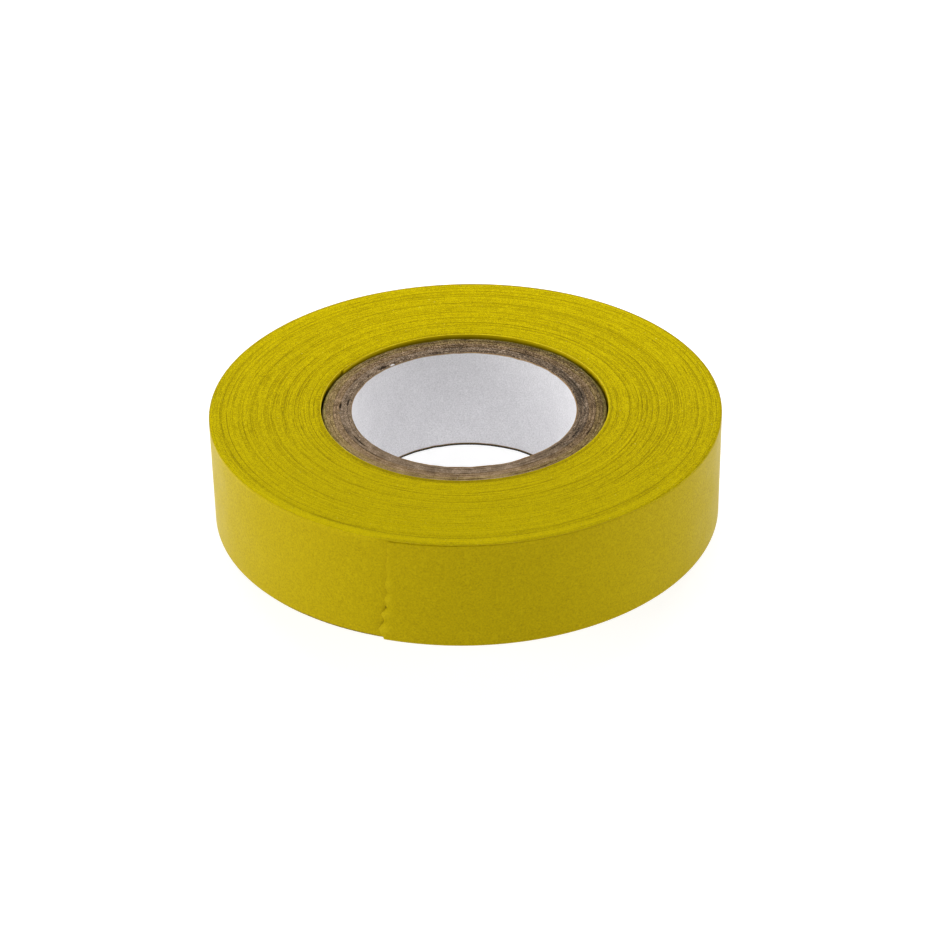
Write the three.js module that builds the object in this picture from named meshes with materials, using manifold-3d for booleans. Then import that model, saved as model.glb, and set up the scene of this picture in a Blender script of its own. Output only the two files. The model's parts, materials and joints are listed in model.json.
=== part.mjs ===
// A roll of electrical insulation tape: one long strip of vinyl tape wound on a paperboard core.
// Millimetres. +Z is the roll's axis, and the origin is the centre of the face that the roll lies on.
// Azimuths are in degrees, counter-clockwise from +X as seen from above.
import * as THREE from "three";
import { mergeVertices } from "three/addons/utils/BufferGeometryUtils.js";
import Module from "manifold-3d";

// Driving dimensions of the roll
const rollDiameter = 86;
const rollHeight = 19; // the laps wander sideways a little, so the roll is taller than the tape is wide
const tapeWidth = 18.6;
const tapeRest = (rollHeight - tapeWidth) / 2; // height of a centred lap's lower edge
const coreDiameter = 48;
const boreDiameter = 38;

// The core: a white paper liner and plies of grey-brown chipboard, glued one round the other
const coreBottom = 0.2; // the core is cut a little shorter than the roll and stands back at both ends
const coreTop = rollHeight - 0.6;
const linerThickness = 0.2;
const plyCount = 8;
const glueLine = 0.02;

// The winding, counted in turns from the tape's free end, which run inwards as the azimuth grows
const freeEndAzimuth = 252;
const peelAzimuth = 309; // the last stretch of tape was lifted once and pressed back from here
const coreEndAzimuth = 150; // where the tape starts on the core
const wholeTurns = 154;
const layerGap = 0.01;

// The cut at the free end: a row of teeth left by a serrated blade
const toothPitch = 2.9;
const toothDepth = 0.7;

// Facets
const azimuthStep = 3; // every azimuth above is a multiple of this
const coreStep = 5;

const turnsTo = (azimuth) => (((azimuth - freeEndAzimuth) % 360) + 360) % 360 / 360;
const peelTurn = turnsTo(peelAzimuth);
const coreEndTurn = wholeTurns + turnsTo(coreEndAzimuth);
const rollRadius = rollDiameter / 2;
const coreRadius = coreDiameter / 2;
const lapPitch = (rollRadius - coreRadius) / (coreEndTurn + 1);

// Radius of the tape's two surfaces after a number of turns
const lapOuterRadius = (turns) => rollRadius - lapPitch * turns;
const lapInnerRadius = (turns) => lapOuterRadius(turns + 1) + layerGap;

const vinyl = () => new THREE.MeshStandardMaterial({ color: 0xc8b408, roughness: 0.4, metalness: 0 });
const chipboard = () => new THREE.MeshStandardMaterial({ color: 0x7e6a51, roughness: 0.95, metalness: 0 });
const linerPaper = () => new THREE.MeshStandardMaterial({ color: 0xcccbcf, roughness: 0.8, metalness: 0 });

// Points of a spiral edge, one for each azimuth step, from one number of turns to another
function spiralPoints(fromTurn, toTurn, radiusAt) {
  const steps = Math.round((Math.abs(toTurn - fromTurn) * 360) / azimuthStep);
  return Array.from({ length: steps + 1 }, (_, i) => {
    const turns = THREE.MathUtils.lerp(fromTurn, toTurn, i / steps);
    const azimuth = THREE.MathUtils.degToRad(freeEndAzimuth + 360 * turns);
    return new THREE.Vector2(Math.cos(azimuth), Math.sin(azimuth)).multiplyScalar(radiusAt(turns));
  });
}

function circlePoints(radius) {
  const count = 360 / coreStep;
  return Array.from({ length: count }, (_, i) => {
    const azimuth = THREE.MathUtils.degToRad(i * coreStep);
    return new THREE.Vector2(Math.cos(azimuth), Math.sin(azimuth)).multiplyScalar(radius);
  });
}

// An outline, with an optional hole in it, raised from one height to another
function raised(outline, bottom, top, hole) {
  const shape = new THREE.Shape(outline);
  if (hole) shape.holes.push(new THREE.Path(hole));
  const geometry = new THREE.ExtrudeGeometry(shape, { depth: top - bottom, bevelEnabled: false });
  return geometry.translate(0, 0, bottom);
}

// A stretch of the tape, as a solid strip that stands on its edge
function strip(fromTurn, toTurn) {
  const outline = [
    ...spiralPoints(fromTurn, toTurn, lapOuterRadius),
    ...spiralPoints(toTurn, fromTurn, lapInnerRadius),
  ];
  return raised(outline, tapeRest, tapeRest + tapeWidth);
}

function named(name, geometry, material) {
  const mesh = new THREE.Mesh(geometry, material);
  mesh.name = name;
  return mesh;
}

// The core, from the liner outwards
function core() {
  const group = new THREE.Group();
  const boreRadius = boreDiameter / 2;
  const firstPlyRadius = boreRadius + linerThickness + glueLine;
  const plyPitch = (coreRadius + glueLine - firstPlyRadius) / plyCount;
  const ring = (inner, outer) => raised(circlePoints(outer), coreBottom, coreTop, circlePoints(inner));

  group.add(named("core_liner", ring(boreRadius, boreRadius + linerThickness), linerPaper()));
  for (let i = 0; i < plyCount; i++) {
    const inner = firstPlyRadius + i * plyPitch;
    const outer = inner + plyPitch - glueLine;
    group.add(named(`core_ply_${i + 1}`, ring(inner, outer), chipboard()));
  }
  return group;
}

// Everything between the first lap on the core and the last lap, as one thick ring with a spiral step
// inside and outside. The hundred and fifty laps in it are too many to be solids of their own.
function windingSolid() {
  const outside = spiralPoints(peelTurn + 1, peelTurn + 2, lapOuterRadius);
  const inside = spiralPoints(coreEndTurn - 2, coreEndTurn - 1, lapInnerRadius);
  return raised(outside, 0, rollHeight, inside);
}

const wasm = await Module();
wasm.setup();

function toSolid(geometry) {
  const bare = new THREE.BufferGeometry().setAttribute("position", geometry.getAttribute("position"));
  const merged = mergeVertices(bare, 1e-4);
  return new wasm.Manifold(
    new wasm.Mesh({
      numProp: 3,
      vertProperties: merged.attributes.position.array,
      triVerts: new Uint32Array(merged.index.array),
    }),
  );
}

function toGeometry(solid) {
  const mesh = solid.getMesh();
  const geometry = new THREE.BufferGeometry();
  geometry.setAttribute("position", new THREE.BufferAttribute(mesh.vertProperties, 3));
  geometry.setIndex(new THREE.BufferAttribute(mesh.triVerts, 1));
  geometry.computeVertexNormals();
  return geometry;
}

// A block with a saw-tooth side, which takes the end of the tape off where the blade cut it.
// It is drawn with its teeth along +Z and its flat back towards -X, and is then turned to the free end.
function bladeCut() {
  const reach = 3; // how far it stands past the tape on every side
  const teeth = Math.ceil(tapeWidth / toothPitch) + 2;
  const bottom = tapeRest + tapeWidth / 2 - (teeth * toothPitch) / 2;
  const outline = [new THREE.Vector2(-reach, bottom)];
  for (let i = 0; i < teeth; i++) {
    outline.push(new THREE.Vector2(0, bottom + i * toothPitch));
    outline.push(new THREE.Vector2(toothDepth, bottom + (i + 0.5) * toothPitch));
  }
  outline.push(new THREE.Vector2(0, bottom + teeth * toothPitch));
  outline.push(new THREE.Vector2(-reach, bottom + teeth * toothPitch));
  const block = new THREE.ExtrudeGeometry(new THREE.Shape(outline), { depth: 2 * reach, bevelEnabled: false });
  // The drawing's X becomes the way round the roll, its Y becomes +Z, and its depth lies along the radius.
  block.rotateX(Math.PI / 2).translate(0, -rollRadius + reach, 0);
  return block.rotateZ(THREE.MathUtils.degToRad(freeEndAzimuth - 270));
}

// The last stretch of tape, pressed back slightly askew, so that its free end sits lower than the lap under it
function tail() {
  const geometry = strip(0, peelTurn);
  const position = geometry.getAttribute("position");
  for (let i = 0; i < position.count; i++) {
    const azimuth = THREE.MathUtils.radToDeg(Math.atan2(position.getY(i), position.getX(i)));
    const share = 1 - turnsTo(azimuth + 1e-3) / peelTurn;
    position.setZ(i, position.getZ(i) - tapeRest * THREE.MathUtils.clamp(share, 0, 1));
  }
  return toGeometry(toSolid(geometry).subtract(toSolid(bladeCut())));
}

const roll = new THREE.Group();
roll.add(core());
roll.add(named("tape_first_lap", strip(coreEndTurn - 1, coreEndTurn), vinyl()));
roll.add(named("tape_winding", windingSolid(), vinyl()));
roll.add(named("tape_outer_lap", strip(peelTurn, peelTurn + 1), vinyl()));
roll.add(named("tape_tail", tail(), vinyl()));

export default roll;
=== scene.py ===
"""The looks of a roll of yellow electrical tape on a pale floor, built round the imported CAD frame.

Metres. +Z is the roll's axis. Azimuths are counter-clockwise from +X, as seen from above. A place along
the tape is given in turns from its free end, and it runs inwards as the azimuth grows.
"""
import json
import math

import bpy
import numpy as np
from mathutils import Matrix, Vector


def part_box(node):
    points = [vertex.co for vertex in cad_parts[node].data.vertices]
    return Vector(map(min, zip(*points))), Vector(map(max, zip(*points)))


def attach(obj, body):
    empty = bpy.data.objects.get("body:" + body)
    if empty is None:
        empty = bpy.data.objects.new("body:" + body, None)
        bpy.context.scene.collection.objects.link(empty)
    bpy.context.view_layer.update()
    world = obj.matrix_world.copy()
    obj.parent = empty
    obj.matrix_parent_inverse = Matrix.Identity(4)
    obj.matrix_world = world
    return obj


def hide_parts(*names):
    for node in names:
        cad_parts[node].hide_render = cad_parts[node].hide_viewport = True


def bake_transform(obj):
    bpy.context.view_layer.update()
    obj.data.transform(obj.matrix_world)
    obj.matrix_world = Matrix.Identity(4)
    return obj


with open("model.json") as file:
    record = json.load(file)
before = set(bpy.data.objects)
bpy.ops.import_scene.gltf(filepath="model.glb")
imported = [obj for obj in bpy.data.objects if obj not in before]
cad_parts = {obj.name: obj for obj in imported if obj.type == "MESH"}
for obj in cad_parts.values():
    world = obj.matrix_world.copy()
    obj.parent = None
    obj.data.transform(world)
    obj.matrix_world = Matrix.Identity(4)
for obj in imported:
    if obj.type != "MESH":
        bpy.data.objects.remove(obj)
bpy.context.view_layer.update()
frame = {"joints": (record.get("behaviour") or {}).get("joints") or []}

MM = 0.001

# The roll, as the CAD model has it. Azimuths in degrees
ROLL_RADIUS = 43 * MM
CORE_RADIUS = 24 * MM
BORE_RADIUS = 19 * MM
ROLL_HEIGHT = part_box("tape_winding")[1].z
CORE_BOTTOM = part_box("core_liner")[0].z
CORE_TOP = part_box("core_liner")[1].z
PIVOT = Vector(frame["joints"][0]["pos_m"])
FREE_END_AZIMUTH = 252
CORE_END_AZIMUTH = 150
WHOLE_TURNS = 154
PLY_COUNT = 8

PEEL_TURN = (math.degrees(math.atan2(PIVOT.y, PIVOT.x)) - FREE_END_AZIMUTH) % 360 / 360
CORE_END_TURN = WHOLE_TURNS + (CORE_END_AZIMUTH - FREE_END_AZIMUTH) % 360 / 360
LAP_PITCH = (ROLL_RADIUS - CORE_RADIUS) / (CORE_END_TURN + 1)
FILM = LAP_PITCH - 0.01 * MM
MIDDLE_OF_WALL = (BORE_RADIUS + CORE_RADIUS) / 2

CLEAN_SIDE = 262  # azimuth of the side where the laps are most even and the least dust lies


# ------------------------ random lines

def smooth_step(value, start=0, end=1):
    share = np.clip((value - start) / (end - start), 0, 1)
    return share * share * (3 - 2 * share)


def ease_between(before, after, share):
    eased = smooth_step(share)
    return before * (1 - eased) + after * eased


def wander(rng, count, knots):
    """A smooth random line that closes on itself, with normally distributed values at even knots."""
    values = rng.normal(size=knots)
    position = np.arange(count) * knots / count
    left = np.floor(position).astype(int)
    return ease_between(values[left], values[(left + 1) % knots], position - left)


def wander_field(rng, around, across, knots_around, knots_across):
    """The same in two directions. It closes on itself around the circle."""
    rows = np.array([wander(rng, around, knots_around) for _ in range(knots_across + 1)])
    position = np.linspace(0, knots_across, across)
    left = np.minimum(np.floor(position).astype(int), knots_across - 1)
    return ease_between(rows[left], rows[left + 1], (position - left)[:, None]).T


def wander_along(rng, turns, knots_per_turn):
    """A smooth random line along the tape, whatever turns it is asked for at."""
    position = turns * knots_per_turn
    values = rng.normal(size=int(position.max()) + 3)
    left = np.floor(position).astype(int)
    return ease_between(values[left], values[left + 1], position - left)


# ----------------------- mesh building

def add_piece(name, points, faces, material, body="roll", sharp=30, **attributes):
    """A mesh object that rides on a body. Every attribute has one number for each point."""
    mesh = bpy.data.meshes.new(name)
    mesh.from_pydata(points.reshape(-1, 3), [], faces)
    for key, values in attributes.items():
        layer = mesh.attributes.new(key, "FLOAT", "POINT")
        layer.data.foreach_set("value", np.ravel(values).astype(np.float32))
    mesh.materials.append(material)
    mesh.shade_smooth()
    mesh.set_sharp_from_angle(angle=math.radians(sharp))
    piece = bpy.data.objects.new(name, mesh)
    bpy.context.scene.collection.objects.link(piece)
    if body:
        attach(piece, body)
    return piece


def quads(a, b, c, d):
    return np.stack([np.ravel(a), np.ravel(b), np.ravel(c), np.ravel(d)], axis=1)


def closed_grid_faces(columns, rows):
    """Faces of a grid that closes on itself both ways. Columns go round the axis, rows up the outside."""
    index = np.arange(columns * rows).reshape(columns, rows)
    across = np.roll(index, -1, axis=0)
    return quads(index, across, np.roll(across, -1, axis=1), np.roll(index, -1, axis=1))


def sheet_faces(columns, rows):
    """Faces of a thin closed solid. The first grid of points is its outer side, the second its inner."""
    outer = np.arange(columns * rows).reshape(columns, rows)
    inner = outer + columns * rows
    sides = [
        quads(outer[:-1, :-1], outer[1:, :-1], outer[1:, 1:], outer[:-1, 1:]),
        quads(inner[:-1, :-1], inner[:-1, 1:], inner[1:, 1:], inner[1:, :-1]),
    ]
    for loop in (outer[:, 0], outer[-1, :], outer[::-1, -1], outer[0, ::-1]):
        back = loop + columns * rows
        sides.append(quads(loop[:-1], back[:-1], back[1:], loop[1:]))
    return np.concatenate(sides)


def polar(radius, azimuth, height):
    radius, azimuth, height = np.broadcast_arrays(radius, azimuth, height)
    return np.stack([radius * np.cos(azimuth), radius * np.sin(azimuth), height], axis=-1)


def facing(azimuth, degrees):
    """1 at the azimuth that is given in degrees, falling to -1 on the opposite side."""
    return np.cos(azimuth - math.radians(degrees))


def bell(value, centre, half_width):
    return np.exp(-((value - centre) / half_width) ** 2)


def bells(height, table):
    """A sum of bells up the tape. The table gives each one's height and half width in mm, and strength."""
    return sum(strength * bell(height / MM, middle, half) for middle, half, strength in table)


# ------------------------ shader nodes

def new_material(name, roughness):
    material = bpy.data.materials.new(name)
    material.use_nodes = True
    material.node_tree.nodes["Principled BSDF"].inputs["Roughness"].default_value = roughness
    return material


def add_node(material, kind, inputs=None, **settings):
    """A shader node. An input's value is another node's output, to link, or a number, to set."""
    node = material.node_tree.nodes.new(kind)
    for key, value in settings.items():
        setattr(node, key, value)
    for key, value in (inputs or {}).items():
        feed(material, node, key, value)
    return node


def feed(material, node, key, value):
    if isinstance(value, bpy.types.NodeSocket):
        material.node_tree.links.new(value, node.inputs[key])
    else:
        node.inputs[key].default_value = value


def surface(material, **values):
    """Feeds the material's main shader. Underscores stand for the spaces in its socket names."""
    shader = material.node_tree.nodes["Principled BSDF"]
    for key, value in values.items():
        feed(material, shader, key.replace("_", " "), value)


def place(material):
    return add_node(material, "ShaderNodeTexCoord").outputs["Object"]


def attribute(material, name):
    return add_node(material, "ShaderNodeAttribute", attribute_name=name).outputs["Fac"]


def multiply(material, value, factor):
    return add_node(material, "ShaderNodeMath", {0: value, 1: factor}, operation="MULTIPLY").outputs[0]


def add_up(material, first, second):
    return add_node(material, "ShaderNodeMath", {0: first, 1: second}, operation="ADD").outputs[0]


def vector_math(material, operation, inputs, output="Vector"):
    return add_node(material, "ShaderNodeVectorMath", inputs, operation=operation).outputs[output]


def noise(material, size, detail=2.0, roughness=0.5, vector=None):
    """Noise whose largest features are about the given size in metres."""
    node = add_node(
        material,
        "ShaderNodeTexNoise",
        {"Vector": vector or place(material), "Scale": 1 / size, "Detail": detail, "Roughness": roughness},
    )
    return node.outputs["Fac"]


def round_the_axis(material, length, width):
    """Coordinates that run round the roll's axis without a seam, for marks of a given length and width.

    The length holds at the middle of the core's wall, and grows with the radius.
    """
    flat = vector_math(material, "MULTIPLY", {0: place(material), 1: (1, 1, 0)})
    radius = vector_math(material, "LENGTH", {0: flat}, output="Value")
    heading = vector_math(material, "NORMALIZE", {0: flat})
    turned = vector_math(material, "SCALE", {0: heading, "Scale": MIDDLE_OF_WALL / length})
    outward = add_node(material, "ShaderNodeCombineXYZ", {"Z": multiply(material, radius, 1 / width)})
    return vector_math(material, "ADD", {0: turned, 1: outward.outputs[0]})


def marks(material, length, width, detail, roughness=0.5):
    """Noise drawn out round the roll's axis."""
    return noise(material, 1.0, detail, roughness, vector=round_the_axis(material, length, width))


def remap(material, value, low, high, to_low, to_high):
    node = add_node(
        material,
        "ShaderNodeMapRange",
        {"Value": value, "From Min": low, "From Max": high, "To Min": to_low, "To Max": to_high},
    )
    return node.outputs["Result"]


def either_way(material, value, amount, reach=0.25):
    """Turns noise round 0.5 into a number between minus and plus an amount, met at a reach from 0.5."""
    return remap(material, value, 0.5 - reach, 0.5 + reach, -amount, amount)


def ramp(material, factor, *stops):
    """A colour ramp. Each stop is a position and a linear colour."""
    node = add_node(material, "ShaderNodeValToRGB", {"Fac": factor})
    elements = node.color_ramp.elements
    while len(elements) < len(stops):
        elements.new(0.5)
    for element, (position, colour) in zip(elements, stops):
        element.position = position
        element.color = (*colour, 1)
    return node.outputs["Color"]


def blend_colours(material, factor, first, second):
    node = add_node(material, "ShaderNodeMix", data_type="RGBA")
    feed(material, node, "Factor", factor)
    for socket, value in zip([s for s in node.inputs if s.type == "RGBA"], (first, second)):
        if isinstance(value, bpy.types.NodeSocket):
            material.node_tree.links.new(value, socket)
        else:
            socket.default_value = (*value, 1)
    return [s for s in node.outputs if s.type == "RGBA"][0]


def bump(material, height, distance, below=None):
    """A bumped normal, on top of the one below it if there is one."""
    inputs = {"Height": height, "Distance": distance}
    if below is not None:
        inputs["Normal"] = below
    return add_node(material, "ShaderNodeBump", inputs).outputs["Normal"]


# --------------------------- materials
# The attribute "tone" says how pale a point is, with 0.5 for plain. "grit" says how strong its grain is.
# On the tape and the core "tone" also carries painted highlight and painted shade.

def film_material():
    """The tape's outer side: satin PVC with a fine matt grain; its tone paints highlight on torn lips and
    edges, and shade.
    """
    material = new_material("satin_film", 0.42)
    mottle = noise(material, 6 * MM, detail=3)
    grain = noise(material, 0.30 * MM, detail=2, roughness=0.7)
    tone = add_up(material, attribute(material, "tone"), either_way(material, grain, 0.30))
    colour = ramp(
        material, tone,
        (0.0, (0.10, 0.068, 0.000)),
        (0.25, (0.35, 0.257, 0.000)),
        (0.5, (0.45, 0.341, 0.000)),
        (1.0, (0.62, 0.480, 0.004)),
    )
    duller = remap(material, mottle, 0.3, 0.7, 0.0, 0.12)
    colour = blend_colours(material, duller, colour, (0.38, 0.282, 0.0))
    slow = bump(material, noise(material, 4 * MM, detail=1), 0.035 * MM)
    surface(
        material,
        Base_Color=colour,
        Roughness=remap(material, mottle, 0.3, 0.7, 0.36, 0.44),
        Specular_IOR_Level=0.04,
        Normal=bump(material, grain, 0.008 * MM, below=slow),
    )
    return material


def lap_edge_material():
    """The slit edges of the laps: matt yellow, darker where glue shows between two, with specks of dust;
    their tone also paints highlight and shade.
    """
    material = new_material("lap_edges", 0.6)
    grain = noise(material, 0.19 * MM, detail=2, roughness=0.75)
    scratch = marks(material, 0.7 * MM, 0.12 * MM, detail=2, roughness=0.6)
    uneven = add_up(material, either_way(material, grain, 0.62), either_way(material, scratch, 0.06))
    uneven = multiply(material, uneven, attribute(material, "grit"))
    colour = ramp(
        material, add_up(material, attribute(material, "tone"), uneven),
        (0.0, (0.22, 0.165, 0.000)),
        (0.3, (0.37, 0.290, 0.000)),
        (0.5, (0.46, 0.364, 0.000)),
        (1.0, (0.64, 0.510, 0.001)),
    )
    dust = remap(material, noise(material, 0.45 * MM, detail=1), 0.755, 0.79, 0.0, 0.5)
    colour = blend_colours(material, dust, colour, (0.72, 0.63, 0.14))
    surface(
        material,
        Base_Color=colour,
        Specular_IOR_Level=0.006,
        Normal=bump(material, add_up(material, grain, scratch), 0.012 * MM),
    )
    return material


def glue_material():
    """The tape's inner side, with its clear rubber adhesive: deeper yellow and glossier than the film.

    A low tone is painted shade, for a place deep in a gap, and a high one painted highlight.
    """
    material = new_material("adhesive_side", 0.22)
    streak = noise(material, 2.5 * MM, detail=4)
    tone = add_up(material, attribute(material, "tone"), either_way(material, streak, 0.035, reach=0.2))
    colour = ramp(
        material, tone,
        (0.0, (0.012, 0.015, 0.000)),
        (0.25, (0.11, 0.078, 0.000)),
        (0.5, (0.37, 0.268, 0.000)),
        (0.9, (0.62, 0.480, 0.002)),
    )
    surface(
        material,
        Base_Color=colour,
        Roughness=remap(material, streak, 0.3, 0.7, 0.22, 0.38),
        Specular_IOR_Level=0.08,
        Normal=bump(material, noise(material, 0.5 * MM, detail=3), 0.02 * MM),
    )
    return material


def board_material(name, dark, middle, light):
    """Recycled chipboard: matt, with fibres and flecks that run round the tube, and dirt at two sizes."""
    material = new_material(name, 0.95)
    fibre = marks(material, 0.45 * MM, 0.15 * MM, detail=3, roughness=0.65)
    fleck = marks(material, 0.50 * MM, 0.26 * MM, detail=0)
    speck = noise(material, 0.20 * MM, detail=2, roughness=0.75)
    patch = noise(material, 1.6 * MM, detail=3, roughness=0.6)
    uneven = add_up(material, either_way(material, fibre, 0.11), either_way(material, speck, 0.58))
    uneven = add_up(material, uneven, remap(material, fleck, 0.66, 0.76, 0.0, 0.34))
    mixed = add_up(material, attribute(material, "tone"), either_way(material, patch, 0.16, reach=0.2))
    mixed = add_up(material, mixed, multiply(material, uneven, attribute(material, "grit")))
    surface(
        material,
        Base_Color=ramp(material, mixed, (0.02, dark), (0.5, middle), (0.98, light)),
        Specular_IOR_Level=0.1,
        Normal=bump(material, add_up(material, fibre, speck), 0.07 * MM),
    )
    return material


def liner_material():
    """White paper with faint clouds and a trace of fibre, greyed towards the top by painted shade.

    Its upper cut edge is tan, and its lowest edge is painted near black as the shadow under the core: their
    tones lie below 0.7.
    """
    material = new_material("liner_paper", 0.75)
    cloud = noise(material, 3.0 * MM, detail=4, roughness=0.65)
    fibre = noise(material, 0.24 * MM, detail=3, roughness=0.75)
    colour = ramp(material, cloud, (0.3, (0.82, 0.810, 0.835)), (0.7, (0.90, 0.890, 0.915)))
    fibrous = remap(material, fibre, 0.3, 0.75, 0.0, 1.0)
    colour = blend_colours(material, fibrous, colour, (0.54, 0.535, 0.550))
    height = add_node(material, "ShaderNodeSeparateXYZ", {0: place(material)}).outputs["Z"]
    # Painted shade: the paper greys towards the top of the bore
    shade_towards_top = remap(material, height, 0.0, CORE_TOP, 0.0, 0.18)
    colour = blend_colours(material, shade_towards_top, colour, (0.40, 0.395, 0.395))
    # Below a tone of 0.7: the tan cut edge, and near black for the painted shadow at the lowest edge
    edge = ramp(
        material, attribute(material, "tone"),
        (0.0, (0.022, 0.020, 0.013)),
        (0.4, (0.12, 0.085, 0.05)),
        (0.6, (0.30, 0.185, 0.08)),
    )
    plain = remap(material, attribute(material, "tone"), 0.7, 0.9, 0.0, 1.0)
    colour = blend_colours(material, plain, edge, colour)
    surface(material, Base_Color=colour, Specular_IOR_Level=0.15, Normal=bump(material, fibre, 0.02 * MM))
    return material


def fibre_material():
    material = new_material("loose_fibres", 0.9)
    pale = noise(material, 1.5 * MM, detail=1)
    colour = ramp(material, pale, (0.4, (0.20, 0.14, 0.085)), (0.62, (0.50, 0.43, 0.34)))
    surface(material, Base_Color=colour, Specular_IOR_Level=0.1)
    return material


def torn_paper_material():
    """The white face of the liner where a nick has folded a little of it over the core's end."""
    material = new_material("torn_paper", 0.85)
    fibre = noise(material, 0.2 * MM, detail=3, roughness=0.7)
    colour = ramp(material, fibre, (0.3, (0.62, 0.60, 0.58)), (0.7, (0.90, 0.89, 0.88)))
    surface(material, Base_Color=colour, Specular_IOR_Level=0.1, Normal=bump(material, fibre, 0.03 * MM))
    return material


# -------------- the course of the tape

def azimuth_at(turns):
    return math.radians(FREE_END_AZIMUTH) + 2 * math.pi * turns


def degrees_at(turns):
    return (360 * turns + FREE_END_AZIMUTH) % 360


def core_end_bulge(turns):
    """How far a lap stands out where the tape climbs over its own start on the core."""
    highest = 0.26 * MM
    rise, fall = 30, 58  # degrees
    fades_over = 2.5 * MM
    laps_beneath = CORE_END_TURN - turns
    past = (360 * turns + FREE_END_AZIMUTH - CORE_END_AZIMUTH) % 360
    after = np.clip(1 - past / fall, 0, 1) ** 1.6
    before = np.where(laps_beneath < 1, 0, np.clip((past - (360 - rise)) / rise, 0, 1) ** 2)
    settling = np.exp(-np.maximum(laps_beneath - 1, 0) * LAP_PITCH / fades_over)
    return highest * np.maximum(after, before) * settling


def lap_radius(turns):
    """Radius of the tape's outer side."""
    return ROLL_RADIUS - LAP_PITCH * turns + core_end_bulge(turns)


# Height of the outer lap's two edges, as pairs of turns and millimetres. The tape was lifted once and
# pressed back a little low, and the lap under it had crept up by then.
OUTER_TOP = (
    (0, 18.75), (0.04, 18.80), (0.09, 18.86), (0.15, 18.91), (0.5, 18.93), (0.9, 18.93), (1.2, 18.91),
)
OUTER_BOTTOM = ((0, 0.0), (0.16, 0.02), (0.4, 0.03), (0.9, 0.03), (0.93, 0.07), (1.0, 0.42), (1.2, 0.38))


def edge_height(turns, table):
    """Height of an edge of the outer lap: straight between the table's points, with softened corners."""
    knots, heights = zip(*table)
    fine = np.linspace(knots[0], knots[-1], 400)
    reach = 25
    window = np.ones(2 * reach + 1) / (2 * reach + 1)
    line = np.pad(np.interp(fine, knots, heights), reach, mode="edge")
    return np.interp(turns, fine, np.convolve(line, window, mode="valid")) * MM


def grit_at(azimuth, calm):
    """How strong the grain is at each azimuth. On the clean side it is weaker by the calm share."""
    return 1 - calm * smooth_step(facing(azimuth, CLEAN_SIDE), 0.2, 0.9)


# ---------------------- the wound laps

STEPS_PER_TURN = 240
SHARED_WAVES = 9
UNEVEN_STRETCHES = 300
DARK_LINES = 145
DUST_DASHES = 1200


def add_waves(rng, turns, shift, tone):
    """Broad waves that neighbouring laps share."""
    for _ in range(SHARED_WAVES):
        laps = rng.uniform(5, 16)
        lobes = rng.integers(1, 4)
        phase = rng.uniform(0, 2 * math.pi, 2)
        wave = np.sin(2 * math.pi * turns / laps + phase[0])
        wave = wave * np.cos(np.radians(lobes * degrees_at(turns)) + phase[1])
        shift += 0.002 * wave
        tone += 0.013 * wave


def add_stretches(rng, turns, shift, tone):
    """Stretches where a lap, or two laps together, were wound lower or higher than their neighbours, with
    painted shade on the lower and painted highlight on the higher.
    """
    for _ in range(UNEVEN_STRETCHES):
        centre = rng.uniform(0, CORE_END_TURN)
        half = rng.uniform(0.04, 0.30)
        laps = rng.choice([1, 1, 1, 1, 2])
        side = rng.choice([-1, -1, -1, 1])
        for lap in range(laps):
            window = smooth_step(1 - np.abs(turns - centre - lap) / half, 0, 0.8)
            shift += side * rng.uniform(0.002, 0.010) * window
            tone += side * rng.uniform(0.01, 0.04) * window


def add_dark_lines(rng, turns, tone):
    """Laps painted with thin dark lines of shade, as if sunk in a narrow groove, broken here and there."""
    broken = np.clip(0.75 + 0.40 * wander_along(rng, turns + 1, 70), 0.1, 1.3)
    for _ in range(DARK_LINES):
        centre = rng.uniform(0, CORE_END_TURN)
        half = rng.uniform(0.06, 0.42)
        strength = rng.uniform(0.14, 0.40)
        tone -= strength * broken * smooth_step(1 - np.abs(turns - centre) / half, 0, 0.5)


def add_dashes(rng, turns, tone):
    """Short dark dashes where dust has stuck to a bead of glue."""
    for _ in range(DUST_DASHES):
        centre = rng.uniform(0, CORE_END_TURN)
        half = rng.uniform(0.004, 0.010)
        tone -= rng.uniform(0.1, 0.35) * np.clip(1 - np.abs(turns - centre) / half, 0, 1)


def add_borders(turns, shift, tone):
    """The shoulder and the groove round the outer edge, and the lip and the groove round the core, with
    painted highlight on the shoulder, the corner and the lip and painted shade in the grooves.
    """
    azimuth = degrees_at(turns)
    clean = np.cos(np.radians(azimuth - CLEAN_SIDE)).clip(0, 1)
    depth = turns * LAP_PITCH / MM
    from_inside = (CORE_END_TURN - turns) * LAP_PITCH / MM
    before_end = smooth_step(azimuth, 170, 215) * smooth_step(azimuth, 256, 250)
    shoulder = smooth_step(depth, 0.25, 0.8) * smooth_step(depth, 2.0, 1.1)
    corner = smooth_step(depth, 1.6, 0.2)
    groove_depth = 2.55 - 0.70 * smooth_step(azimuth, 256, 235)
    groove = bell(depth, groove_depth, 0.35) * (0.25 + 0.75 * clean)
    lip = smooth_step(from_inside, 0.40, 0.10) * (1 - clean)
    inner_groove = bell(from_inside, 0.62 - 0.14 * clean, 0.20 + 0.18 * clean)
    # Painted highlight on the shoulder, the corner before the free end and the lip; painted shade in the
    # grooves
    tone += 0.13 * shoulder * (0.4 + 0.6 * clean) + 0.20 * corner * before_end
    tone += 0.16 * lip - 0.09 * groove - (0.16 + 0.25 * clean) * inner_groove
    shift -= 0.09 * smooth_step(depth, 0.55, 0.05) + 0.025 * groove + 0.03 * inner_groove


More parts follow.
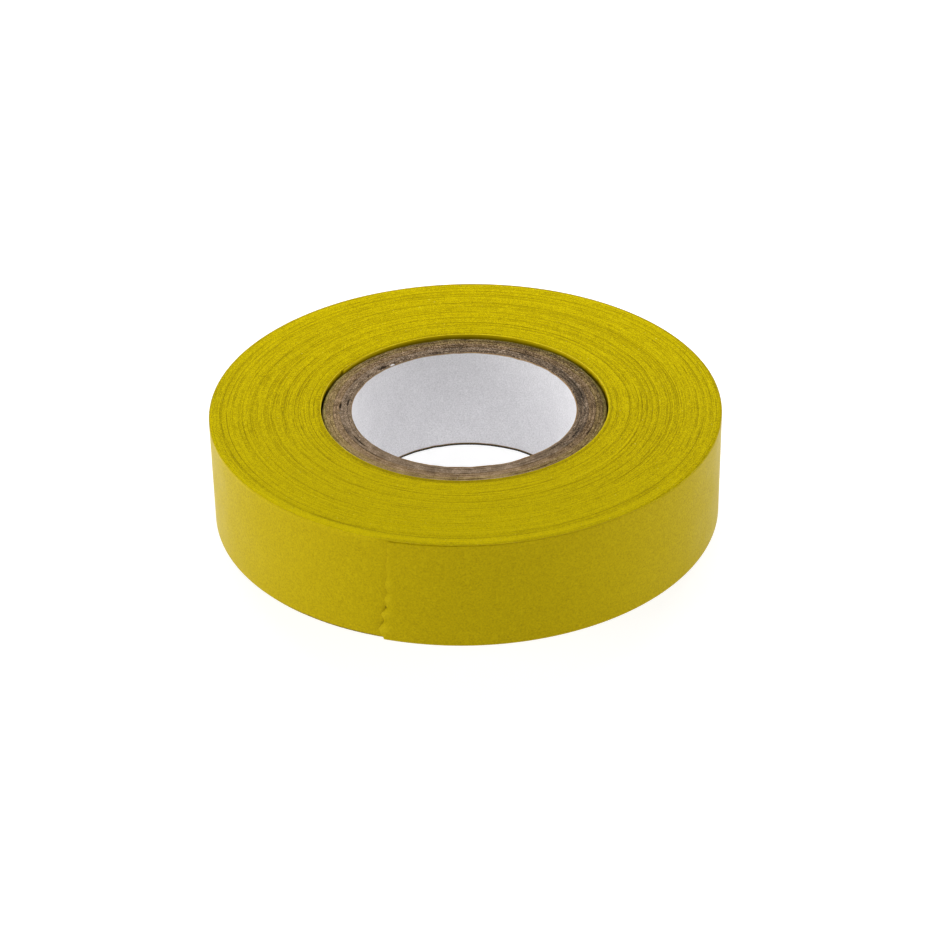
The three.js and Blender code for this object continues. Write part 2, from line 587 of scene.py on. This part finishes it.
def lap_heights():
    """Functions of turns: the height of a lap's upper and lower edge inside the winding, and its tone."""
    rng = np.random.default_rng(7)
    turns = np.arange(-1, CORE_END_TURN + 2, 1 / STEPS_PER_TURN)
    azimuth = degrees_at(turns)
    shift = 0.003 * wander_along(rng, turns + 1, 4)
    tone = 0.5 + 0.03 * wander_along(rng, turns + 1, 9) + 0.045 * wander_along(rng, turns + 1, 1.5)
    add_waves(rng, turns, shift, tone)
    add_stretches(rng, turns, shift, tone)
    add_dark_lines(rng, turns, tone)
    add_dashes(rng, turns, tone)

    # The clean side has less contrast
    clean = np.cos(np.radians(azimuth - CLEAN_SIDE)).clip(0, 1)
    tone = 0.5 + (tone - 0.5) * (1 - 0.45 * clean)
    add_borders(turns, shift, tone)

    # Under the tail the outermost laps have crept up off the floor
    crept = smooth_step(azimuth, 226, 250) * smooth_step(azimuth, 335, 300)
    lifted = 0.40 * crept * bell(turns * LAP_PITCH / MM, LAP_PITCH / MM, 0.9)
    upper = ROLL_HEIGHT - 0.06 * MM + np.clip(shift, -0.4, 0.06) * MM
    lower = (0.08 + np.clip(shift, -0.08, 0.3) + lifted) * MM

    def look_up(values):
        return lambda asked: np.interp(asked, turns, values)

    return look_up(upper), look_up(lower), look_up(np.clip(tone, 0, 1))


lap_top, lap_bottom, lap_tone = lap_heights()

ACROSS_LAP = np.array([0.0, 0.28, 0.80])  # shares of a lap's pitch: the glue line and the film's two corners
GLUE_DEPTH = 0.012 * MM
GLUE_SHADE = 0.16  # how much darker the glue line is than the laps beside it


def wound_laps(name, first_turn, last_turn, material):
    """A ring of many laps. Both ends show each lap's edge, one groove after another along one spiral."""
    turn = STEPS_PER_TURN
    turns = np.arange(first_turn, last_turn + 0.5 / turn, 1 / turn)
    count, across = len(turns), len(ACROSS_LAP)
    azimuth = azimuth_at(turns)[:, None]
    radius = lap_radius(turns)[:, None] - LAP_PITCH * ACROSS_LAP
    upper = np.repeat(lap_top(turns)[:, None], across, axis=1)
    lower = np.repeat(lap_bottom(turns)[:, None], across, axis=1)
    upper[:, 0] = np.minimum(upper[:, 0], lap_top(turns - 1)) - GLUE_DEPTH
    lower[:, 0] = np.maximum(lower[:, 0], lap_bottom(turns - 1)) + GLUE_DEPTH
    tone = np.repeat(lap_tone(turns)[:, None], across, axis=1)
    tone[:, 0] = np.minimum(tone[:, 0], lap_tone(turns - 1)) - GLUE_SHADE
    grit = np.repeat(grit_at(azimuth, 0.40), across, axis=1)

    index = np.arange(count * across).reshape(count, across)
    next_lap = index[turn:]
    top = [
        quads(index[:-1, :-1], index[1:, :-1], index[1:, 1:], index[:-1, 1:]),
        quads(index[:-1 - turn, -1], index[1:-turn, -1], next_lap[1:, 0], next_lap[:-1, 0]),
    ]
    bottom = [face[:, ::-1] + count * across for face in top]
    outside = np.concatenate([index[:turn + 1, 0], index[0, :0:-1], index[:1, 0]])
    inside = np.concatenate([index[-1 - turn:, -1], index[-1, -2::-1], index[-1 - turn:-turn, -1]])
    walls = [
        quads(outside[:-1], outside[:-1] + count * across, outside[1:] + count * across, outside[1:]),
        quads(inside[:-1], inside[1:], inside[1:] + count * across, inside[:-1] + count * across),
    ]
    points = np.concatenate([polar(radius, azimuth, upper), polar(radius, azimuth, lower)])
    piece = add_piece(
        name, points, np.concatenate(top + bottom + walls), material, sharp=80,
        tone=np.concatenate([tone, tone]), grit=np.concatenate([grit, grit]),
    )
    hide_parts("tape_winding")


def winding(material):
    """The laps between the first and the outermost, in three groups so that each mesh stays a fair size."""
    first_turn, last_turn = PEEL_TURN + 1, CORE_END_TURN - 1
    groups = ("outer", "middle", "inner")
    steps_each = (last_turn - first_turn) / len(groups) * STEPS_PER_TURN
    starts = [first_turn + round(i * steps_each) / STEPS_PER_TURN for i in range(len(groups))]
    for group, start, end in zip(groups, starts, starts[1:] + [last_turn]):
        wound_laps(f"laps_{group}", start, end, material)


# ------------ the laps that are strips

EDGE_INSET = 0.0015  # share of the width over which an edge of a strip is rounded


def edged(count):
    """Shares from 0 to 1, evenly spaced, with one more just inside each end for a rounded edge."""
    return np.concatenate([[0], np.linspace(EDGE_INSET, 1 - EDGE_INSET, count), [1]])


def strip(name, turns, shares, top, bottom, film, glue, body="roll", lift=None, slide=None, tone=None):
    """A stretch of the tape. Its outer side is film and its inner side is adhesive.

    shares place its rows between its edges. top and bottom give those edges' heights for each turn. lift
    says how far it stands off the lap below, slide how far a point is moved along the tape, and tone how
    much paler than plain it is, all from grids of turns and heights.
    """
    low, high = bottom[:, None], top[:, None]
    height = low + (high - low) * shares
    along = turns[:, None] + np.zeros_like(height)
    azimuth = azimuth_at(along)
    outer = lap_radius(along)
    if slide:
        azimuth = azimuth + slide(along, height) / ROLL_RADIUS
    if lift:
        outer = outer + lift(along, height)
    rounding = np.zeros_like(shares)
    rounding[[0, -1]] = 0.025 * MM
    points = np.concatenate([
        polar(outer - rounding, azimuth, height),
        polar(outer - FILM + rounding, azimuth, height),
    ])
    shade = np.full_like(height, 0.5)
    if tone:
        shade = shade + tone(along, height)
    faces = sheet_faces(len(turns), len(shares))
    piece = add_piece(name, points, faces, film, body=body, sharp=50, tone=np.clip([shade, shade], 0, 1))
    piece.data.materials.append(glue)
    face_count = (len(turns) - 1) * (len(shares) - 1)
    slots = np.zeros(len(faces), np.int32)
    slots[face_count:2 * face_count] = 1
    piece.data.polygons.foreach_set("material_index", slots)
    return piece


# The torn end: pairs of height and how far back the edge lies from the end's own azimuth, in millimetres.
# The blade left deep teeth at the lower edge and hardly any at the upper edge.
TORN_EDGE = (
    (0.0, -0.20), (1.2, -0.70), (2.1, -0.98), (2.8, -0.55), (3.5, -0.05), (4.3, -0.25),
    (5.1, -0.46), (5.6, 0.0), (6.1, 0.42), (7.0, 0.35), (7.9, 0.14), (9.1, 0.56),
    (10.9, 0.34), (12.3, 0.68), (14.3, 0.52), (16.0, 0.86), (17.2, 0.80), (18.9, 0.98),
)
# Where the torn edge stands out, with painted highlight, and where shade is painted in its notches: height,
# half width, strength
LIPS = ((2.3, 0.9, 1.0), (5.2, 0.75, 0.9), (8.0, 0.8, 0.6), (11.1, 0.9, 0.45), (14.5, 1.0, 0.2))
NOTCHES = ((6.2, 0.40, 1.0), (3.6, 0.40, 0.5), (9.3, 0.40, 0.4))


def torn_edge(height):
    knots, back = zip(*TORN_EDGE)
    return np.interp(height / MM, knots, back) * MM


def outer_lap(film, glue):
    """The outermost lap. From its second crossing of the free end onwards it lies under the tail."""
    rng = np.random.default_rng(11)
    turns = np.concatenate([
        np.linspace(PEEL_TURN, 0.985, 600),
        np.linspace(0.985, 1.01, 60)[1:],
        np.linspace(1.01, PEEL_TURN + 1, 60)[1:],
    ])
    ripple = 0.010 * MM * wander_along(rng, turns, 30)
    top = edge_height(turns, OUTER_TOP) + ripple
    bottom = edge_height(turns, OUTER_BOTTOM) + np.abs(ripple)

    def free_part(turns):
        """The stretch that leads up to where the tail begins to cover the lap."""
        return smooth_step(turns, 1.003, 0.99) * smooth_step(turns, 0.5, 0.85)

    def gap(turns, height):
        """The stretch just above the tail's upper edge."""
        above_tail = height - edge_height(turns - 1, OUTER_TOP)
        along = smooth_step(turns, 1.0, 1.01) * smooth_step(turns, 1.15, 1.08)
        return along * smooth_step(above_tail, -0.2 * MM, 0) * smooth_step(above_tail, 0.25 * MM, 0.1 * MM)

    def notch_shade(turns, height):
        """Painted shade in the notches of the torn edge."""
        from_tail = torn_edge(height) - (turns - 1) * 2 * math.pi * ROLL_RADIUS
        near = np.exp(-np.abs(from_tail) / (0.35 * MM)) * smooth_step(degrees_at(turns), 240, 246)
        return bells(height, NOTCHES) * near

    def foot(turns, height):
        """The lower edge just before the free end, in shade where it rises off the floor."""
        above_foot = height - edge_height(turns, OUTER_BOTTOM)
        return smooth_step(degrees_at(turns), 215, 240) * smooth_step(above_foot, 0.32 * MM, 0.06 * MM)

    def tone(turns, height):
        free = free_part(turns)
        corner = smooth_step(height, 18.35 * MM, 18.85 * MM)
        # Painted highlight on the upper corner before the tail and just above the tail's edge; painted shade
        # in the notches and on the raised lower edge
        paler = 0.22 * free * corner + 0.10 * gap(turns, height)
        return paler - 0.70 * notch_shade(turns, height) - 0.60 * foot(turns, height) * free

    piece = strip("outer_lap", turns, edged(58), top, bottom, film, glue, tone=tone)
    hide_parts("tape_outer_lap")


def first_lap(film, glue):
    """The lap on the core. Its upper edge stands a little proud all round, with painted highlight, and its
    wall lies in painted shade.
    """
    rng = np.random.default_rng(12)
    turns = np.linspace(CORE_END_TURN - 1, CORE_END_TURN, 721)
    top = lap_top(turns) + 0.02 * MM + 0.010 * MM * wander_along(rng, turns, 12)
    bottom = np.maximum(lap_bottom(turns), 0.05 * MM)
    finer_upwards = [0.3, 0.6, 0.85, 0.93, 0.955, 0.968, 0.978, 0.986, 0.993]
    shares = np.array([0, EDGE_INSET, *finer_upwards, 1 - EDGE_INSET, 1])

    def tone(turns, height):
        depth = top[:, None] - height
        azimuth = azimuth_at(turns)
        # Painted highlight on the upper edge; painted shade down the wall, deepest on the left, and at the
        # front up to the edge
        front = 0.40 * smooth_step(facing(azimuth, 268), 0.6, 0.95)
        shadow = 0.46 + 0.39 * smooth_step(facing(azimuth, 180), 0.94, 0.985)
        return 0.35 - front - (shadow - front) * smooth_step(depth, 0.10 * MM, 0.75 * MM)

    piece = strip("first_lap", turns, shares, top, bottom, film, glue, tone=tone)
    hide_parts("tape_first_lap")


def tail(film, glue):
    """The free end, lifted once and pressed back, with torn teeth, raised lips and a loose upper edge."""
    length = 2 * math.pi * ROLL_RADIUS * PEEL_TURN
    torn = 3 * MM
    lip_height = 0.36 * MM
    loose_edge = 0.035 * MM
    end_lift = 0.012 * MM
    distances = np.concatenate([np.linspace(0, torn, 28), np.linspace(torn, length, 90)[1:]])
    turns = distances / length * PEEL_TURN

    def distance(turns):
        return turns / PEEL_TURN * length

    def slide(turns, height):
        return torn_edge(height) * (1 - smooth_step(distance(turns), 0, torn))

    def lift(turns, height):
        lips = lip_height * bells(height, LIPS) * np.exp(-distance(turns) / (0.8 * MM))
        edge = smooth_step(height, 17.9 * MM, 18.7 * MM) * smooth_step(distance(turns), 34 * MM, 5 * MM)
        return lips + loose_edge * edge + end_lift * np.exp(-distance(turns) / (1.5 * MM))

    def tone(turns, height):
        # Painted highlight on the lifted lips of the torn teeth and along the free end's edge
        lips = bells(height, LIPS) * bell(distance(turns), 0, 1.1 * MM)
        seam = np.exp(-distance(turns) / (0.4 * MM))
        return 0.55 * np.clip(lips, 0, 1) + 0.13 * seam

    top = edge_height(turns, OUTER_TOP)
    bottom = edge_height(turns, OUTER_BOTTOM)
    piece = strip(
        "tail", turns, edged(110), top, bottom, film, glue, body=None, lift=lift, slide=slide, tone=tone,
    )
    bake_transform(piece)
    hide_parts("tape_tail")


# ---------------------------- the core

# Opened glue lines: the ply inside, azimuth of the middle and half the length in degrees, width in mm
CRACKS = (
    (1, 30, 12, 0.06),
    (2, 14, 16, 0.09),
    (1, 135.3, 3, 0.34),
    (1, 173, 4, 0.16),
    (3, 177, 4, 0.14),
    (2, 211, 8, 0.10),
    (3, 222, 16, 0.05),
    (2, 300, 10, 0.05),
    (5, 338, 14, 0.04),
    (4, 90, 14, 0.05),
)
# Marks on the cut ends: azimuth in degrees, radius in mm, half length in degrees, half width in mm, and how
# much darker they are, or paler where that is negative
STAINS = (
    (38, 20.5, 8, 0.32, 0.30),
    (22, 20.2, 8, 0.34, 0.36),
    (8, 19.9, 8, 0.34, 0.34),
    (334, 20.4, 6, 0.36, 0.30),
    (320, 19.7, 5, 0.30, 0.22),
    (337, 22.2, 3, 0.30, 0.20),
    (152, 21.0, 4, 0.25, 0.30),
    (161, 22.4, 3, 0.16, 0.40),
    (171, 20.3, 5, 0.40, 0.26),
    (199, 20.8, 7, 0.30, 0.28),
    (228, 20.4, 6, 0.30, 0.20),
    (255, 21.2, 3, 0.25, 0.24),
    (135.3, 19.9, 2, 0.22, 0.70),
    (0, 20.8, 3, 0.20, -0.40),
    (19, 20.9, 3, 0.12, -0.34),
    (352, 21.6, 8, 0.40, -0.10),
)
PLY_TONES = (0.36, 0.42, 0.42, 0.41, 0.45, 0.46, 0.40, 0.50)  # from the liner outwards
PLY_COLUMNS = 600
END_ROWS = 7
WALL_ROWS = 3


def settle(points):
    """Moves points of the core to where the tape's pull has left them: in a little on the far side, and more
    at the lower end than at the upper end."""
    radius = np.hypot(points[..., 0], points[..., 1])
    azimuth = np.arctan2(points[..., 1], points[..., 0])
    climb = np.clip(points[..., 2] / CORE_TOP, 0, 1)
    upper = 0.46 * smooth_step(facing(azimuth, 52), 0.0, 0.85)
    lower = 0.95 * smooth_step(facing(azimuth, 88), -0.1, 0.75)
    from_bore = np.clip((radius - BORE_RADIUS) / (CORE_RADIUS - BORE_RADIUS), 0, 1)
    held = 1 - from_bore * (0.4 + 0.6 * (1 - climb))
    inwards = (lower + (upper - lower) * climb) * held * MM
    return points * np.stack([1 - inwards / radius, 1 - inwards / radius, np.ones_like(radius)], axis=-1)


def ring(name, azimuths, radius, height, material, tone):
    """A closed ring. radius and height list, for each azimuth, the points of its section."""
    points = settle(polar(radius, azimuths[:, None], height))
    behind = smooth_step(facing(azimuths, 85), 0.2, 0.8)
    grit = grit_at(azimuths, 0.60) + 0.30 * behind
    grit = np.broadcast_to(grit[:, None], radius.shape)
    faces = closed_grid_faces(*radius.shape)
    return add_piece(name, points, faces, material, sharp=60, tone=tone, grit=grit)


def ply_radii(number):
    """Inner and outer radius of a ply, or of the liner, which is number 0."""
    if number == 0:
        return BORE_RADIUS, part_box("core_liner")[1].x
    below = "core_liner" if number == 1 else f"core_ply_{number - 1}"
    glue_line = 0.02 * MM
    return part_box(below)[1].x + glue_line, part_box(f"core_ply_{number}")[1].x


def degrees_away(degrees, middle):
    return (degrees - middle + 180) % 360 - 180


def opened(boundary, azimuths):
    """How far the glue line outside a ply has opened, at each azimuth."""
    degrees = np.degrees(azimuths) % 360
    width = np.zeros_like(degrees)
    for ply, middle, half, most in CRACKS:
        if ply == boundary:
            away = np.abs(degrees_away(degrees, middle))
            width = np.maximum(width, most * smooth_step(1 - away / half, 0, 0.7))
    return width * MM


def stained(radius, azimuths):
    """What the stains add to the tone at each point of an end face."""
    degrees = np.degrees(azimuths)[:, None]
    added = np.zeros_like(radius)
    for middle, stain_radius, half_length, half_width, strength in STAINS:
        away = degrees_away(degrees, middle)
        added -= strength * bell(away, 0, half_length) * bell(radius / MM, stain_radius, half_width)
    return added


def cut_end(rng, number, azimuths, shares, is_upper):
    """Radius and roughness of a ply's cut end, from the inside outwards."""
    around, across = PLY_COLUMNS, END_ROWS
    inner, outer = ply_radii(number)
    inside = 0.5 * opened(number - 1, azimuths) * (0.7 + 0.3 * np.abs(wander(rng, around, 160)))
    outside = 0.5 * opened(number, azimuths) * (0.7 + 0.3 * np.abs(wander(rng, around, 160)))
    low = inner + inside + 0.012 * MM * np.abs(wander(rng, around, 220))
    high = outer - outside - 0.012 * MM * np.abs(wander(rng, around, 220))
    radius = low[:, None] + (high - low)[:, None] * shares

    rough = 0.022 * wander_field(rng, around, across, 240, 6)
    rough += 0.018 * wander_field(rng, around, across, 90, 3)
    rough = rough * grit_at(azimuths[:, None], 0.65) + 0.035 * wander(rng, around, 24)[:, None]

    to_edge = np.minimum(shares, 1 - shares)
    drop = 0.035 * (1 - smooth_step(to_edge, 0, 0.22)) * (1 + 0.8 * wander(rng, around, 120))[:, None]
    drop = drop * grit_at(azimuths[:, None], 0.9)
    drop += 1.5 * (inside / MM)[:, None] * (1 - smooth_step(shares, 0, 0.5))
    drop += 1.5 * (outside / MM)[:, None] * smooth_step(shares, 0.5, 1)
    if number == PLY_COUNT:
        crushed = np.clip(0.22 + 0.10 * wander(rng, around, 30), 0, 1)[:, None]
        drop += crushed * smooth_step(shares, 0.25, 1)
        if is_upper:
            radius -= 0.28 * MM * smooth_step(shares, 0.4, 1) * crushed
    if number == 1:
        drop += 0.08 * smooth_step(shares, 0.5, 0)
    return radius, (rough - drop) * MM


def cut_tone(rng, number, azimuths, shares, radius):
    """Tone of a ply's cut ends: its own, with streaks, darker edges and stains, and painted light and shade:
    lighter to the front left, darker at the back, in opened glue lines and at the outer rim's back.
    """
    around, across = PLY_COLUMNS, END_ROWS
    # Painted light towards the front left and painted shade towards the back, more on the two outer plies
    to_front = facing(azimuths, 235)[:, None]
    base = PLY_TONES[number - 1]
    base = base + 0.12 * smooth_step(to_front, -0.1, 0.8) - 0.10 * smooth_step(to_front, 0.1, -0.7)
    if number >= 7:
        base = base + 0.10 * smooth_step(to_front, 0.1, 0.7) - 0.08 * smooth_step(to_front, -0.3, -0.8)
    streaks = 0.08 * wander_field(rng, around, across, 300, 6)
    streaks = streaks + 0.04 * wander_field(rng, around, across, 120, 3)
    ply_edge = 1 - smooth_step(np.minimum(shares, 1 - shares), 0, 0.15)
    edges = -0.06 * ply_edge * (0.6 + 0.8 * wander(rng, around, 90)[:, None])
    # Painted shade in the opened glue lines
    gaps = opened(number, azimuths)[:, None] * smooth_step(shares, 0.6, 1)
    gaps = gaps + opened(number - 1, azimuths)[:, None] * smooth_step(shares, 0.4, 0)
    tone = base + grit_at(azimuths[:, None], 0.70) * (streaks + edges) - 4.0 * gaps / MM
    tone = tone + stained(radius, azimuths) * (0.5 + 8 * np.abs(streaks))
    # Painted shade on the outer rims at the back, beside the tape's wall
    if number == PLY_COUNT:
        behind = smooth_step(facing(azimuths, 118), 0.0, 0.35)[:, None]
        tone = tone - 0.34 * behind * smooth_step(shares, 0.5, 1)
    if number == PLY_COUNT - 1:
        behind = smooth_step(facing(azimuths, 65), 0.2, 0.7)[:, None]
        tone = tone - 0.12 * behind * shares
    return tone


def core_ply(number, material):
    """One ply of the core: a tube of board with cut, fibrous ends and a rough glue line to the next ply."""
    rng = np.random.default_rng(100 + number)
    around, across, wall = PLY_COLUMNS, END_ROWS, WALL_ROWS
    azimuths = np.linspace(0, 2 * math.pi, around, endpoint=False)
    shares = np.linspace(0, 1, across)
    top_radius, top_rough = cut_end(rng, number, azimuths, shares, is_upper=True)
    bottom_radius, bottom_rough = cut_end(rng, number, azimuths, shares, is_upper=False)
    inner_wall, outer_wall = [np.full((around, wall), radius) for radius in ply_radii(number)]
    up = np.linspace(0, 1, wall + 2)[1:-1]
    climbing = CORE_BOTTOM + (CORE_TOP - CORE_BOTTOM) * (0.06 + 0.88 * up)
    climbing = np.broadcast_to(climbing, (around, wall))
    lower = CORE_BOTTOM - np.minimum(bottom_rough, 0.1 * MM)
    upper = CORE_TOP + np.minimum(top_rough, 0.15 * MM)
    radius = np.concatenate([bottom_radius, outer_wall, top_radius[:, ::-1], inner_wall], axis=1)
    height = np.concatenate([lower, climbing, upper[:, ::-1], climbing[:, ::-1]], axis=1)

    cut = cut_tone(rng, number, azimuths, shares, top_radius)
    tone = np.full(radius.shape, PLY_TONES[number - 1])
    tone[:, :across] = cut
    tone[:, across + wall:2 * across + wall] = cut[:, ::-1]
    piece = ring(f"ply_{number}", azimuths, radius, height, material, np.clip(tone, 0, 1))
    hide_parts(f"core_ply_{number}")


def liner(material):
    """The white paper inside the bore. One edge of its strip laps over the last turn of the helix."""
    rng = np.random.default_rng(31)
    inner, outer = ply_radii(0)
    around = 720
    strip_width = 62 * MM
    overlap = 2.2 * MM
    azimuths = np.linspace(0, 2 * math.pi, around, endpoint=False)
    climb = np.concatenate([[0, 0.010, 0.018, 0.025], np.linspace(0.03, 0.98, 54), [0.99, 1]])
    tone_up = np.ones_like(climb)
    # The lowest rows are painted near black: the shadow under the core's lower edge
    tone_up[:3] = (0, 0, 0.5)
    tone_up[-1] = 0.6
    ragged_top = CORE_TOP + 0.04 * MM * wander(rng, around, 90) - 0.03 * MM
    ragged_low = 0.06 * MM - 0.02 * MM * wander(rng, around, 90)
    height = ragged_low[:, None] + (ragged_top - ragged_low)[:, None] * climb
    seam = (azimuths[:, None] - math.radians(35)) % (2 * math.pi) / (2 * math.pi) * strip_width
    over_seam = smooth_step(height, seam - 0.25 * MM, seam + 0.05 * MM)
    over_seam = over_seam * smooth_step(height, seam + overlap, seam)
    waves = 0.012 * MM * wander_field(rng, around, len(climb), 40, 12)
    bore = inner - 0.02 * MM * over_seam + waves
    bore[:, -1] += 0.04 * MM
    bore -= 0.16 * MM * smooth_step(climb, 0.05, 0)
    radius = np.concatenate([np.full((around, 2), outer), bore[:, ::-1]], axis=1)
    height = np.concatenate([ragged_low[:, None], ragged_top[:, None], height[:, ::-1]], axis=1)
    # The upper cut edge is darker towards the left
    towards_left = smooth_step(facing(azimuths, 165), 0.0, 0.5)
    cut_edge = 0.59 - 0.11 * towards_left + 0.02 * wander(rng, around, 120)
    # The lower cut end is painted near black too, as that shadow
    tone = np.concatenate([[0, 0.6], tone_up[::-1]]) + np.zeros((around, 1))
    tone[:, 1:3] = cut_edge[:, None]
    piece = ring("liner", azimuths, radius, height, material, tone)
    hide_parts("core_liner")


def paper_nick(material):
    """A scrap of the liner's white face, torn and folded outwards over the core's end."""
    rng = np.random.default_rng(32)
    columns, rows = 24, 7
    thickness = 0.05 * MM
    azimuths = np.radians(np.linspace(129.4, 131.8, columns))[:, None]
    share = np.linspace(0, 1, rows)
    outline = np.sin(np.linspace(0, math.pi, columns)) ** 0.5
    reach = (0.30 * outline * (1 + 0.2 * wander(rng, columns, 9)) + 0.05) * MM
    radius = BORE_RADIUS + 0.03 * MM + reach[:, None] * share
    curl = 0.05 + 0.12 * np.sin(math.pi * share) + 0.03 * wander(rng, columns, 8)[:, None]
    height = CORE_TOP + curl * MM
    upper = polar(radius, azimuths, height)
    lower = polar(radius, azimuths, height - thickness)
    points = settle(np.concatenate([upper, lower]))
    piece = add_piece("liner_nick", points, sheet_faces(columns, rows)[:, ::-1], material)


FIBRES = 150
FIBRE_SIDES = 5
FIBRE_JOINTS = 5
ROUGH_PLACES = (158, 172, 12, 130)  # azimuths in degrees where the cut is most torn


def fibre_rings(rng, is_in_rough_place):
    """Rings of points along one hair of board, which stands up from the core's upper end."""
    azimuth = rng.uniform(0, 2 * math.pi)
    if is_in_rough_place:
        azimuth = math.radians(rng.choice(ROUGH_PLACES) + rng.normal() * 9)
    radius = rng.uniform(BORE_RADIUS + 0.5 * MM, CORE_RADIUS - 0.5 * MM)
    heading = azimuth + math.pi / 2 + rng.normal() * 0.7
    along = np.array([math.cos(heading), math.sin(heading), 0])
    across = np.array([-along[1], along[0], 0])
    length = rng.uniform(0.4, 1.3) * MM
    thickness = rng.uniform(0.012, 0.026) * MM
    bend = rng.normal() * 0.3
    start = np.array([radius * math.cos(azimuth), radius * math.sin(azimuth), CORE_TOP - 0.05 * MM])
    turn = np.arange(FIBRE_SIDES) * 2 * math.pi / FIBRE_SIDES
    outline = np.cos(turn)[:, None] * across + np.sin(turn)[:, None] * [0, 0, 1]
    rings = []
    for share in np.linspace(0, 1, FIBRE_JOINTS):
        centre = start + along * length * share + across * bend * length * share ** 2
        centre[2] += 0.16 * MM * math.sin(math.pi * share) + 0.05 * MM * share
        rings.append(centre + thickness * (1 - 0.6 * share) * outline)
    return rings


def fibre_faces(first):
    """Faces of a hair whose points start at the given number: its sides and its two ends."""
    faces = []
    for joint in range(FIBRE_JOINTS - 1):
        for side in range(FIBRE_SIDES):
            a = first + joint * FIBRE_SIDES + side
            b = first + joint * FIBRE_SIDES + (side + 1) % FIBRE_SIDES
            faces.append((a, b, b + FIBRE_SIDES, a + FIBRE_SIDES))
    last = first + (FIBRE_JOINTS - 1) * FIBRE_SIDES
    faces.append(tuple(range(first + FIBRE_SIDES - 1, first - 1, -1)))
    faces.append(tuple(range(last, last + FIBRE_SIDES)))
    return faces


def loose_fibres(material):
    """Hairs of torn board on the core's upper end. Every third one is in a rough place."""
    rng = np.random.default_rng(41)
    rings, faces = [], []
    for fibre in range(FIBRES):
        faces += fibre_faces(len(rings) * FIBRE_SIDES)
        rings += fibre_rings(rng, fibre % 3 == 0)
    piece = add_piece("core_fibres", settle(np.concatenate(rings)), faces, material)


def core():
    grey = board_material("grey_board", (0.042, 0.031, 0.022), (0.190, 0.131, 0.081), (0.46, 0.35, 0.25))
    brown = board_material("brown_board", (0.045, 0.029, 0.015), (0.200, 0.129, 0.066), (0.45, 0.32, 0.19))
    tan = board_material("tan_board", (0.045, 0.030, 0.011), (0.200, 0.134, 0.050), (0.44, 0.32, 0.15))
    # The outer ply's olive tint is painted reflection of the yellow tape beside it
    olive = board_material("olive_board", (0.042, 0.034, 0.009), (0.200, 0.152, 0.038), (0.40, 0.31, 0.12))
    boards = (grey, grey, grey, brown, brown, tan, tan, olive)
    liner(liner_material())
    paper_nick(torn_paper_material())
    for i, board in enumerate(boards):
        core_ply(i + 1, board)
    loose_fibres(fibre_material())


# ------------- floor, light and camera

FLOOR_REACH = 3.0
FLOOR_GLOW = 0.80
WORLD_STRENGTH = 0.1
AREA_LIGHTS = (  # name, azimuth and elevation in degrees, distance, width and height in metres, watts
    ("left", 185, 15, 0.9, 0.7, 0.5, 5.4),
    ("right", 0, 15, 0.9, 0.7, 0.5, 3.4),
    ("front_left", 225, 35, 0.9, 0.7, 0.5, 1.4),
    ("front_right", -45, 35, 0.9, 0.7, 0.5, 1.05),
    ("back", 90, 30, 0.9, 0.9, 0.5, 2.9),
    ("near_back", 90, 50, 0.22, 0.25, 0.08, 0.47),
)

# The camera: its place and aim in roll radii, its turn about the line of sight in degrees, its lens in mm
CAMERA_PLACE = (0, -9.0997, 5.8068)
CAMERA_AIM = (-0.0043, -0.0966, 0.2215)
CAMERA_TURN = -1.03
LENS = 104.8
SENSOR_WIDTH = 36


def add_floor():
    """A pale table with a faint glow of its own, as a light table has, so that no shadow on it is hard."""
    material = new_material("floor", 0.9)
    surface(
        material,
        Base_Color=(0.40, 0.40, 0.40, 1),
        Specular_IOR_Level=0.05,
        Emission_Color=(1, 1, 1, 1),
        Emission_Strength=FLOOR_GLOW,
    )
    corners = np.array([[-1, -1, 0], [1, -1, 0], [1, 1, 0], [-1, 1, 0]]) * FLOOR_REACH
    corners[:, 2] = -0.01 * MM
    add_piece("floor", corners, [(0, 1, 2, 3)], material, body=None)


def add_area_light(name, azimuth, elevation, distance, width, height, power):
    """A soft box that is aimed at the middle of the roll."""
    light = bpy.data.lights.new(name, "AREA")
    light.shape = "RECTANGLE"
    light.size = width
    light.size_y = height
    light.energy = power
    lamp = bpy.data.objects.new(name, light)
    azimuth, elevation = math.radians(azimuth), math.radians(elevation)
    lamp.location = distance * Vector((
        math.cos(azimuth) * math.cos(elevation),
        math.sin(azimuth) * math.cos(elevation),
        math.sin(elevation),
    ))
    aim = Vector((0, 0, ROLL_HEIGHT / 2)) - lamp.location
    lamp.rotation_euler = aim.to_track_quat("-Z", "Y").to_euler()
    bpy.context.scene.collection.objects.link(lamp)


def add_world():
    world = bpy.data.worlds.new("studio")
    bpy.context.scene.world = world
    world.use_nodes = True
    background = world.node_tree.nodes["Background"]
    background.inputs["Color"].default_value = (1, 1, 1, 1)
    background.inputs["Strength"].default_value = WORLD_STRENGTH


def add_camera():
    data = bpy.data.cameras.new("camera")
    data.lens = LENS
    data.sensor_width = SENSOR_WIDTH
    data.clip_start = 0.01
    camera = bpy.data.objects.new("camera", data)
    camera.location = [share * ROLL_RADIUS for share in CAMERA_PLACE]
    aim_at = Vector(CAMERA_AIM) * ROLL_RADIUS
    aim = (aim_at - camera.location).to_track_quat("-Z", "Y").to_matrix()
    turn = Matrix.Rotation(math.radians(CAMERA_TURN), 3, "Z")
    camera.rotation_euler = (aim @ turn).to_euler()
    bpy.context.scene.collection.objects.link(camera)
    bpy.context.scene.camera = camera


add_camera()
add_floor()
add_world()
for light in AREA_LIGHTS:
    add_area_light(*light)
bpy.context.scene.view_settings.view_transform = "Standard"

film = film_material()
glue = glue_material()
edges = lap_edge_material()
core()
first_lap(film, glue)
winding(edges)
outer_lap(film, glue)
tail(film, glue)

bpy.context.view_layer.update()
